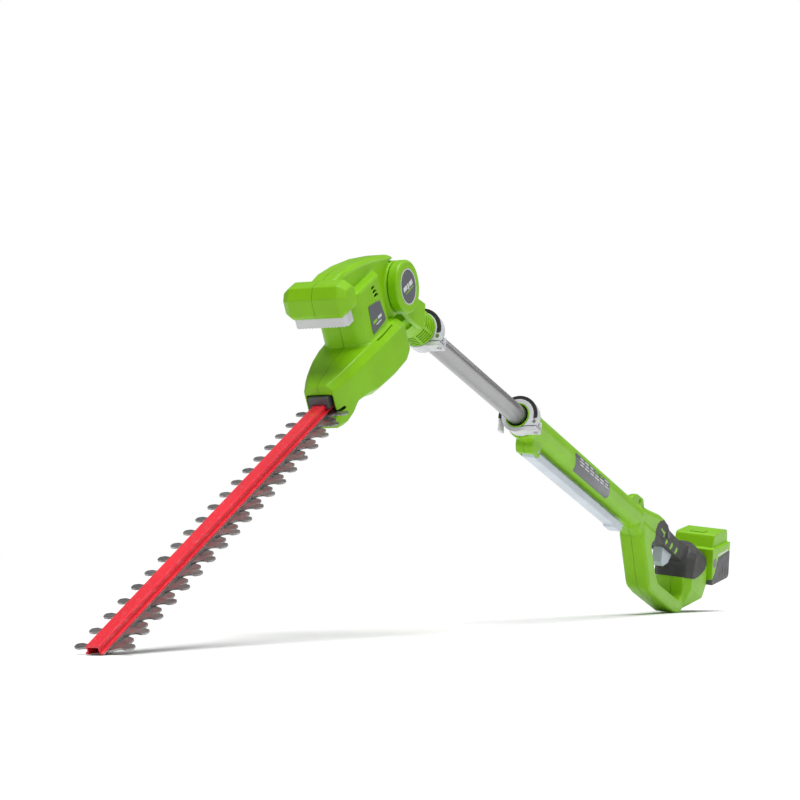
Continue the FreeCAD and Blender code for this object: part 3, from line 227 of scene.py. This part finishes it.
GREEN = (0.215, 0.505, 0.004)
SLATE = (0.105, 0.112, 0.130)
MATERIALS = {
    "green_plastic": moulded("green_plastic", GREEN, 0.36, sheen=0.3),
    "battery_green": moulded("battery_green", shade(GREEN, 1.03), 0.34, sheen=0.3),
    "dark_plastic": moulded("dark_plastic", (0.085, 0.087, 0.094), 0.48, relief=0.03 * MM, wear=0.6),
    "grip_rubber": rubbery("grip_rubber", (0.042, 0.041, 0.040)),
    "white_plastic": moulded("white_plastic", (0.60, 0.61, 0.63), 0.36, wear=0.1),
    "pale_plastic": moulded("pale_plastic", (0.52, 0.58, 0.65), 0.32, wear=0.1),
    "black_plastic": moulded("black_plastic", (0.022, 0.022, 0.024), 0.42, wear=0.3),
    "bush_plastic": moulded("bush_plastic", (0.045, 0.045, 0.048), 0.4, wear=0.2),
    "label": moulded("label", SLATE, 0.30, grain=0.2 * MM, relief=0.002 * MM, wear=0.1, sheen=0.6),
    "tube_aluminium": metal("tube_aluminium", (0.40, 0.40, 0.405), 0.38, POLE, (60, 1, 1)),
    "red_paint": painted("red_paint", (0.78, 0.012, 0.030), 0.30, 0.35, HEAD, (3, 1, 1)),
    "blade_steel": metal("blade_steel", (0.36, 0.35, 0.345), 0.36, HEAD, (1, 40, 1), grain=0.4 * MM,
                         stain=0.25),
    "bright_steel": metal("bright_steel", (0.62, 0.62, 0.62), 0.26, HEAD, (40, 1, 1)),
    "dark_steel": painted("dark_steel", (0.07, 0.072, 0.078), 0.34, 0.2),
    "zinc_steel": metal("zinc_steel", (0.56, 0.56, 0.56), 0.34, stain=0.2),
    "gear_steel": metal("gear_steel", (0.42, 0.42, 0.43), 0.32, stain=0.2),
    "cast_alloy": metal("cast_alloy", (0.45, 0.45, 0.46), 0.5, grain=1.2 * MM, relief=0.05 * MM),
    "board_green": moulded("board_green", (0.02, 0.16, 0.06), 0.28, wear=0.1),
    "cell_wrap": moulded("cell_wrap", (0.03, 0.12, 0.38), 0.3, wear=0.2),
    "print_pale": moulded("print_pale", (0.62, 0.63, 0.64), 0.4, wear=0.0),
    "print_green": moulded("print_green", GREEN, 0.4, wear=0.0),
}
SLOTS = {part["node"]: part["material_slot"] for part in frame["record"]["subparts"]}


def paint(obj, name):
    obj.data.materials.clear()
    obj.data.materials.append(MATERIALS[name])


# ---------------------------------------------------------------- mesh helpers
def piece(name, mesh):
    obj = bpy.data.objects.new(name, mesh)
    bpy.context.scene.collection.objects.link(obj)
    return obj


def remove(obj):
    mesh = obj.data
    bpy.data.objects.remove(obj)
    bpy.data.meshes.remove(mesh)


def settle(obj):
    """Applies the modifiers of an object to its mesh."""
    graph = bpy.context.evaluated_depsgraph_get()
    mesh = bpy.data.meshes.new_from_object(obj.evaluated_get(graph))
    old = obj.data
    obj.modifiers.clear()
    obj.data = mesh
    bpy.data.meshes.remove(old)


def from_bmesh(name, bm):
    mesh = bpy.data.meshes.new(name)
    bm.to_mesh(mesh)
    bm.free()
    return piece(name, mesh)


def gathered(name, sources, mirror=None):
    """One welded copy of some CAD nodes, doubled across the local plane y = 0 of a mirror frame."""
    bm = bmesh.new()
    for source in sources:
        bm.from_mesh(nodes[source].data)
    if mirror is not None:
        flip = mirror @ Matrix.Scale(-1.0, 4, Vector((0, 1, 0))) @ mirror.inverted()
        own = bm.verts[:] + bm.edges[:] + bm.faces[:]
        twin = bmesh.ops.duplicate(bm, geom=own)["geom"]
        bmesh.ops.transform(bm, matrix=flip, verts=[g for g in twin if isinstance(g, bmesh.types.BMVert)])
        bmesh.ops.reverse_faces(bm, faces=[g for g in twin if isinstance(g, bmesh.types.BMFace)])
    bmesh.ops.remove_doubles(bm, verts=bm.verts, dist=1e-6)
    return from_bmesh(name, bm)


def skin(name, sources, voxel, rounds, mirror=None):
    """One smooth closed skin over CAD nodes: their edges come out rounded and their joins blended."""
    obj = gathered(name, sources, mirror)
    remesh = obj.modifiers.new("voxels", "REMESH")
    remesh.mode = "VOXEL"
    remesh.voxel_size = voxel
    soften = obj.modifiers.new("soften", "SMOOTH")
    soften.factor = 0.5
    soften.iterations = rounds
    settle(obj)
    obj.data.shade_smooth()
    return obj


def prism(name, space, outline, low, high, plane="xz"):
    """A closed prism in a local frame: an outline in the xz or xy plane, from low to high across it."""
    bm = bmesh.new()

    def corner(p, level):
        spot = (p[0], level, p[1]) if plane == "xz" else (p[0], p[1], level)
        return bm.verts.new(space @ Vector(spot))

    ends = [[corner(p, level) for p in outline] for level in (low, high)]
    count = len(outline)
    for i in range(count):
        j = (i + 1) % count
        bm.faces.new((ends[0][i], ends[0][j], ends[1][j], ends[1][i]))
    bm.faces.new(list(reversed(ends[0])))
    bm.faces.new(ends[1])
    bmesh.ops.triangulate(bm, faces=bm.faces)
    bmesh.ops.recalc_face_normals(bm, faces=bm.faces)
    return from_bmesh(name, bm)


def merged(name, tools):
    """One object of several separate ones."""
    bm = bmesh.new()
    for tool in tools:
        bm.from_mesh(tool.data)
    for tool in tools:
        remove(tool)
    return from_bmesh(name, bm)


def carve(obj, tool, operation="DIFFERENCE"):
    """Cuts a tool from a piece, or keeps their common part, and removes the tool."""
    cutter = obj.modifiers.new("carve", "BOOLEAN")
    cutter.operation = operation
    cutter.solver = "MANIFOLD"
    cutter.object = tool
    settle(obj)
    remove(tool)


def smooth_edges(obj, degrees=35):
    obj.data.shade_smooth()
    obj.data.set_sharp_from_angle(angle=math.radians(degrees))


def side_of(obj, name, space, sign):
    """The part of a mesh on one side of the local plane y = 0."""
    bm = bmesh.new()
    bm.from_mesh(obj.data)
    back = space.inverted()
    far = [v for v in bm.verts if (back @ v.co).y * sign < 0]
    bmesh.ops.delete(bm, geom=far, context="VERTS")
    return from_bmesh(name, bm)


def halves(obj, names, space, gap, reach):
    """Splits a housing in two at its mid plane, with an open joint line between the halves."""
    low, high = reach
    outline = [(low[0], low[1]), (high[0], low[1]), (high[0], high[1]), (low[0], high[1])]
    carve(obj, prism("joint_line", space, outline, -gap / 2, gap / 2))
    made = [side_of(obj, name, space, sign) for name, sign in zip(names, (-1, 1))]
    remove(obj)
    for half in made:
        smooth_edges(half)
    return made


def fit(obj, body, slot_name, *replaced, material=None):
    """Paints a finished piece, lets it ride on its body and hides the CAD nodes it stands for."""
    paint(obj, material or slot_name)
    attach(obj, body)
    if replaced:
        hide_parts(*replaced)


# ---------------------------------------------------------------- the cutter head
NEAR_SIDE = -40
VENT_FLOOR = -25.5
GAP_FLOOR = -23.0
CABLE_HOLE_FLOOR = -13.0


def oblong(along, up, length, height):
    """The outline of a small bar about its middle."""
    half_length, half_height = length / 2, height / 2
    return [(along - half_length, up - half_height), (along + half_length, up - half_height),
            (along + half_length, up + half_height), (along - half_length, up + half_height)]


def head_housing():
    """The two moulded halves of the motor housing, with vents, gap line and joint line."""
    body = skin("housing", ["head_shell_left", "head_shell_right"], 0.9 * MM, 12)
    tools = []
    for row in range(3):
        outline = oblong(612 + 2.4 * row, 93 - 5.2 * row, 9.0, 2.0)
        tools.append(prism(f"vent_{row}", HEAD, outline, NEAR_SIDE, VENT_FLOOR))
    tools.append(prism("gap_line", HEAD, oblong(608, 40.4, 44.0, 1.6), NEAR_SIDE, GAP_FLOOR))
    tools.append(prism("cable_hole", HEAD, oblong(685, 78, 7.0, 3.0), NEAR_SIDE, CABLE_HOLE_FLOOR))
    carve(body, merged("head_tools", tools))
    made = halves(body, ("head_half_left", "head_half_right"), HEAD, gap=0.5,
                  reach=((440, -40), (760, 160)))
    for obj, node_name in zip(made, ("head_shell_left", "head_shell_right")):
        fit(obj, "head", "green_plastic", node_name)


def entry_and_lever():
    lever = skin("release_bar", ["release_lever"], 0.45 * MM, 5)
    fit(lever, "release_lever", "white_plastic", "release_lever")
    plate = skin("blade_entry", ["entry_plate"], 0.35 * MM, 4)
    fit(plate, "head", "dark_steel", "entry_plate")


# ---------------------------------------------------------------- neck and clamps
def sector(inner, outer, middle, half_angle):
    """The outline of a piece of a ring about the origin."""
    turns = [middle + half_angle * share for share in (-1, -0.5, 0, 0.5, 1)]
    near = [(inner * math.cos(t), inner * math.sin(t)) for t in turns]
    far = [(outer * math.cos(t), outer * math.sin(t)) for t in reversed(turns)]
    return near + far


SLOT_FLOOR = 17.4
SLOT_REACH = 23.0
SLOT_HALF_ANGLE = 0.325
SLOTS_ROUND = 8
SLOT_SPAN = (-2.5, 0.1)
RINGS = 5
FIRST_RING = 100.0
RING_PITCH = 5.0


def neck_housing():
    """The two halves of the neck, each the other's mirror image, with slots cut all round its collar."""
    body = skin("neck", ["neck_shell_left"], 0.55 * MM, 5, POLE)
    turned = POLE @ Matrix.Rotation(math.pi / 2, 4, "Z")
    slots = []
    for ring in range(RINGS):
        start = FIRST_RING - RING_PITCH * ring
        for step in range(SLOTS_ROUND):
            middle = math.radians(360 / SLOTS_ROUND * step)
            outline = sector(SLOT_FLOOR, SLOT_REACH, middle, SLOT_HALF_ANGLE)
            slots.append(prism("slot", turned, outline, SLOT_SPAN[0] - start, SLOT_SPAN[1] - start))
    carve(body, merged("neck_slots", slots))
    made = halves(body, ("neck_half_left", "neck_half_right"), POLE, gap=0.4,
                  reach=((-60, -60), (140, 80)))
    for obj, node_name in zip(made, ("neck_shell_left", "neck_shell_right")):
        fit(obj, "neck", "green_plastic", node_name)


def clamps():
    for prefix, body, lever_body in (("front", "neck", "front_lever"), ("rear", "handle", "rear_lever")):
        band = skin(prefix + "_band", [prefix + "_clamp_band"], 0.4 * MM, 4)
        fit(band, body, "white_plastic", prefix + "_clamp_band")
        lever = skin(prefix + "_cam_lever", [prefix + "_clamp_lever"], 0.35 * MM, 4)
        fit(lever, lever_body, "white_plastic", prefix + "_clamp_lever")


# ---------------------------------------------------------------- the handle
GRIP_EDGE = [(584, 34), (577, 27), (561, 20.5), (544, 14.5), (536, 7), (532.5, -4), (531, -22), (536, -34)]
RUBBER_SIDE = GRIP_EDGE + [(600, -30), (676, -36.5), (688, -37), (704, -33.5), (722, -25), (738, -14),
                           (752, 2), (762, 16), (764, 34)]
HANDLE_REACH = 60
RUBBER_SEAM = 0.35


def grown(outline, by):
    """An outline moved outwards all round, given counter-clockwise seen along +y."""
    centre = Vector((sum(p[0] for p in outline), sum(p[1] for p in outline))) / len(outline)
    return [tuple(Vector(p) + (Vector(p) - centre).normalized() * by) for p in outline]


def handle_housing():
    """Two green halves and the rubber overmould, cut from one skin."""
    body = skin("handle", ["handle_shell_left", "handle_shell_right", "grip_rubber"], 1.0 * MM, 10)
    rubber = piece("handle_rubber", body.data.copy())
    carve(rubber, prism("rubber_area", HANDLE, RUBBER_SIDE, -HANDLE_REACH, HANDLE_REACH), "INTERSECT")
    smooth_edges(rubber, 40)
    fit(rubber, "handle", "grip_rubber", "grip_rubber")
    around = grown(RUBBER_SIDE, RUBBER_SEAM)
    carve(body, prism("green_area", HANDLE, around, -HANDLE_REACH, HANDLE_REACH))
    made = halves(body, ("handle_half_left", "handle_half_right"), HANDLE, gap=0.5,
                  reach=((-20, -120), (800, 80)))
    for obj, node_name in zip(made, ("handle_shell_left", "handle_shell_right")):
        fit(obj, "handle", "green_plastic", node_name)


def controls():
    for name, node_name, body, slot_name, voxel, rounds in (
            ("throttle_trigger", "trigger", "trigger", "pale_plastic", 0.5, 6),
            ("safety_button", "lock_off_button", "lock_off_button", "dark_plastic", 0.3, 5),
            ("long_paddle", "paddle", "paddle", "pale_plastic", 0.7, 6)):
        obj = skin(name, [node_name], voxel * MM, rounds)
        fit(obj, body, slot_name, node_name)


def battery():
    for name, node_name, slot_name in (("pack_cover", "battery_cover", "battery_green"),
                                       ("pack_base", "battery_base", "dark_plastic")):
        obj = skin(name, [node_name], 0.7 * MM, 6)
        fit(obj, "battery", slot_name, node_name)


# ---------------------------------------------------------------- printed and moulded marks
PRINT_THICKNESS = 0.12
PRINT_BURIED = 0.3
PRINT_STEP = 1.2
DISC_STEPS = 17
RING_STEPS = 72
OUTSIDE = 90.0


def printed(name, target, space, centre, half, body, slot_name, material, turn=0.0, disc=False, side=-1):
    """A thin patch laid on one side of a piece: a turned block or, as a disc, an ellipse."""
    mesh = target.data
    tree = BVHTree.FromPolygons([v.co for v in mesh.vertices], [p.vertices for p in mesh.polygons])
    inward = (space.to_3x3() @ Vector((0, -side, 0))).normalized()
    cos, sin = math.cos(math.radians(turn)), math.sin(math.radians(turn))
    across, up = [DISC_STEPS if disc else max(3, int(size / PRINT_STEP)) for size in half]
    layers = ([], [])
    for j in range(up + 1):
        for i in range(across + 1):
            u, v = 2 * i / across - 1, 2 * j / up - 1
            if disc:
                u, v = u * math.sqrt(1 - v * v / 2), v * math.sqrt(1 - u * u / 2)
            x = centre[0] + u * half[0] * cos - v * half[1] * sin
            z = centre[1] + u * half[0] * sin + v * half[1] * cos
            hit = tree.ray_cast(space @ Vector((x, OUTSIDE * side, z)), inward)[0]
            if hit is None:
                return
            layers[0].append(hit - inward * PRINT_THICKNESS * MM)
            layers[1].append(hit + inward * PRINT_BURIED * MM)
    bm = bmesh.new()
    top, under = [[bm.verts.new(spot) for spot in layer] for layer in layers]
    wide = across + 1
    for j in range(up):
        for i in range(across):
            k = j * wide + i
            bm.faces.new((top[k], top[k + 1], top[k + wide + 1], top[k + wide]))
            bm.faces.new((under[k], under[k + wide], under[k + wide + 1], under[k + 1]))
    rim = list(range(wide)) + [j * wide + across for j in range(1, up + 1)]
    rim += [up * wide + i for i in range(across - 1, -1, -1)] + [j * wide for j in range(up - 1, 0, -1)]
    for k, following in zip(rim, rim[1:] + rim[:1]):
        bm.faces.new((top[k], under[k], under[following], top[following]))
    bmesh.ops.recalc_face_normals(bm, faces=bm.faces)
    fit(from_bmesh(name, bm), body, slot_name, material=material)


def rim_ring(name, space, centre, radii, levels, body, slot_name, material):
    """A flat ring standing on a face, its axis along local y."""
    bm = bmesh.new()
    rows = []
    inner, outer = radii
    face, foot = levels
    turns = [2 * math.pi * k / RING_STEPS for k in range(RING_STEPS)]
    for radius, level in ((inner, face), (outer, face), (outer, foot), (inner, foot)):
        rows.append([bm.verts.new(space @ Vector((centre[0] + radius * math.cos(t), level,
                                                  centre[1] + radius * math.sin(t)))) for t in turns])
    for row, other in zip(rows, rows[1:] + rows[:1]):
        for k in range(RING_STEPS):
            m = (k + 1) % RING_STEPS
            bm.faces.new((row[k], row[m], other[m], other[k]))
    bmesh.ops.recalc_face_normals(bm, faces=bm.faces)
    fit(from_bmesh(name, bm), body, slot_name, material=material)


# each print with its middle, its half length and half height, and its material
HEAD_PRINTS = ((598, 59, 5.4, 1.6, "print_green"), (611, 59.5, 5.0, 1.6, "print_pale"),
               (606, 54.5, 7.0, 0.7, "print_pale"))
PIVOT_PRINTS = ((680, 63.5, 5.0, 2.6, "print_pale"), (688.5, 63, 1.8, 3.4, "print_pale"),
                (696.5, 64, 4.6, 2.8, "print_pale"), (690, 57.8, 11.0, 0.6, "print_green"))
HANDLE_ROWS = (6.4, 2.4, -1.6, -5.2)
GREEN_WORDS = ((1, 3), (1, 4))


def marks():
    """Generic bars, blocks and rings where the real tool has its prints and its coloured inlays."""
    badge = nodes["head_badge"]
    for k, (x, z, long, high, material) in enumerate(HEAD_PRINTS):
        printed(f"head_print_{k}", badge, HEAD, (x, z), (long, high), "head", "label", material)
    for side, node_name in ((-1, "pivot_badge_left"), (1, "pivot_badge_right")):
        plate = nodes[node_name]
        tag = "near" if side < 0 else "far"
        for k, (x, z, long, high, material) in enumerate(PIVOT_PRINTS):
            printed(f"pivot_print_{tag}_{k}", plate, HEAD, (x, z), (long, high), "neck", "label", material,
                    turn=4.0, side=side)
        rim_ring(f"pivot_rim_{tag}", HEAD, (PIVOT_ALONG, PIVOT_ABOVE), (19.5, 20.7),
                 (side * 33.05, side * 32.5), "neck", "label", "print_pale")
    shell = nodes["handle_badge"]
    for row, height in enumerate(HANDLE_ROWS):
        for k in range(6):
            material = "print_green" if (row, k) in GREEN_WORDS else "print_pale"
            printed(f"handle_print_{row}_{k}", shell, HANDLE, (195 + 20.5 * k + 2 * row, height),
                    (8.6 - 2.4 * ((k + row) % 2), 1.25 - 0.2 * row), "handle", "label", material)


def inlays():
    """The coloured marks of the rubber grip and the panels of the battery's sides."""
    rubber = bpy.data.objects["handle_rubber"]
    cover = bpy.data.objects["pack_cover"]
    base = bpy.data.objects["pack_base"]
    for side in (-1, 1):
        tag = "near" if side < 0 else "far"
        for k in range(3):
            printed(f"grip_inlay_{tag}_{k}", rubber, HANDLE, (590 + 24.4 * k, -5.4 - 0.6 * k), (4.2, 5.6),
                    "handle", "green_plastic", "green_plastic", turn=-20.0, disc=True, side=side)
        printed(f"grip_arrow_{tag}", rubber, HANDLE, (563, 3.5), (8.5, 1.5), "handle", "green_plastic",
                "green_plastic", turn=-12.0, side=side)
        printed(f"grip_arrow_tip_{tag}", rubber, HANDLE, (571, 1.0), (1.6, 4.6), "handle", "green_plastic",
                "green_plastic", turn=-12.0, side=side)
        printed(f"pack_label_{tag}", cover, BATTERY, (700.6, -314.5), (8.2, 7.6), "battery", "label", "label",
                disc=True, side=side)
        printed(f"pack_line_{tag}", cover, BATTERY, (738, -303.5), (24, 1.5), "battery", "label",
                "print_pale", turn=2.0, side=side)
        for k in range(4):
            printed(f"pack_bar_{tag}_{k}", base, BATTERY, (727 + 13 * k, -336), (2.2, 9.0), "battery",
                    "dark_plastic", "black_plastic", turn=-12.0, side=side)


# ---------------------------------------------------------------- CAD nodes that stay
def round_cad_edges():
    """Small bevels, as modifiers only, on the CAD nodes that stay in view."""
    for obj in nodes.values():
        if obj.hide_render:
            continue
        weld = obj.modifiers.new("weld", "WELD")
        weld.merge_threshold = 1e-6
        bevel = obj.modifiers.new("bevel", "BEVEL")
        bevel.width = 0.25 * MM
        bevel.segments = 2
        bevel.limit_method = "ANGLE"
        bevel.angle_limit = math.radians(40)


for name, obj in nodes.items():
    paint(obj, SLOTS[name])
head_housing()
entry_and_lever()
neck_housing()
clamps()
handle_housing()
controls()
battery()
marks()
inlays()
round_cad_edges()


# ---------------------------------------------------------------- camera, floor, lights
CAMERA_SPOT = (-2.54193, -1.07424, 0.08738)
CAMERA_VIEW = Vector((0.90143, 0.42685, 0.07229))
CAMERA_LENS = 97.55
FLOOR_HALF = 60
SKY_LIGHT = 0.22
SUN_LIGHT = 3.3
SUN_AIM = Vector((0.10, 0.14, -1.0))
LAMP_TARGET = Vector((0, 0, 0.15))


def studio():
    scene = bpy.context.scene
    camera_data = bpy.data.cameras.new("camera")
    camera_data.lens = CAMERA_LENS
    camera_data.sensor_width = 36.0
    camera = piece("camera", camera_data)
    camera.location = CAMERA_SPOT
    camera.rotation_euler = CAMERA_VIEW.to_track_quat("-Z", "Y").to_euler()
    scene.camera = camera

    outline = oblong(0, 0, 2 * FLOOR_HALF, 2 * FLOOR_HALF)
    floor = prism("floor", Matrix.Identity(4), outline, -0.02, 0.0, "xy")
    pale = Surface("floor")
    tone = pale.blend(pale.spread(pale.noise(0.8), 0.0, 1.0), (0.86, 0.86, 0.86), (0.88, 0.88, 0.88))
    pale.shader.inputs["Specular IOR Level"].default_value = 0.0
    floor.data.materials.append(pale.finish(tone, pale.spread(pale.noise(0.05), 0.55, 0.65)))

    world = bpy.data.worlds.new("studio")
    world.use_nodes = True
    links = world.node_tree.links
    sky = world.node_tree.nodes["Background"]
    path = world.node_tree.nodes.new("ShaderNodeLightPath")
    level = world.node_tree.nodes.new("ShaderNodeMapRange")
    level.inputs["To Min"].default_value = SKY_LIGHT
    level.inputs["To Max"].default_value = 1.0
    links.new(path.outputs["Is Camera Ray"], level.inputs["Value"])
    sky.inputs["Color"].default_value = (1.0, 1.0, 1.0, 1.0)
    links.new(level.outputs["Result"], sky.inputs["Strength"])
    scene.world = world

    sun_data = bpy.data.lights.new("overhead", "SUN")
    sun_data.energy = SUN_LIGHT
    sun_data.angle = math.radians(40)
    sun = piece("overhead", sun_data)
    sun.rotation_euler = SUN_AIM.to_track_quat("-Z", "Y").to_euler()
    for name, spot, size, power in (("side", (-1.6, -2.2, 1.5), 1.2, 9),
                                    ("rear", (2.2, -1.2, 1.6), 1.0, 5)):
        lamp = bpy.data.lights.new(name, "AREA")
        lamp.size = size
        lamp.energy = power
        light = piece(name, lamp)
        light.location = spot
        light.rotation_euler = (LAMP_TARGET - Vector(spot)).to_track_quat("-Z", "Y").to_euler()
    scene.view_settings.view_transform = "Standard"


studio()
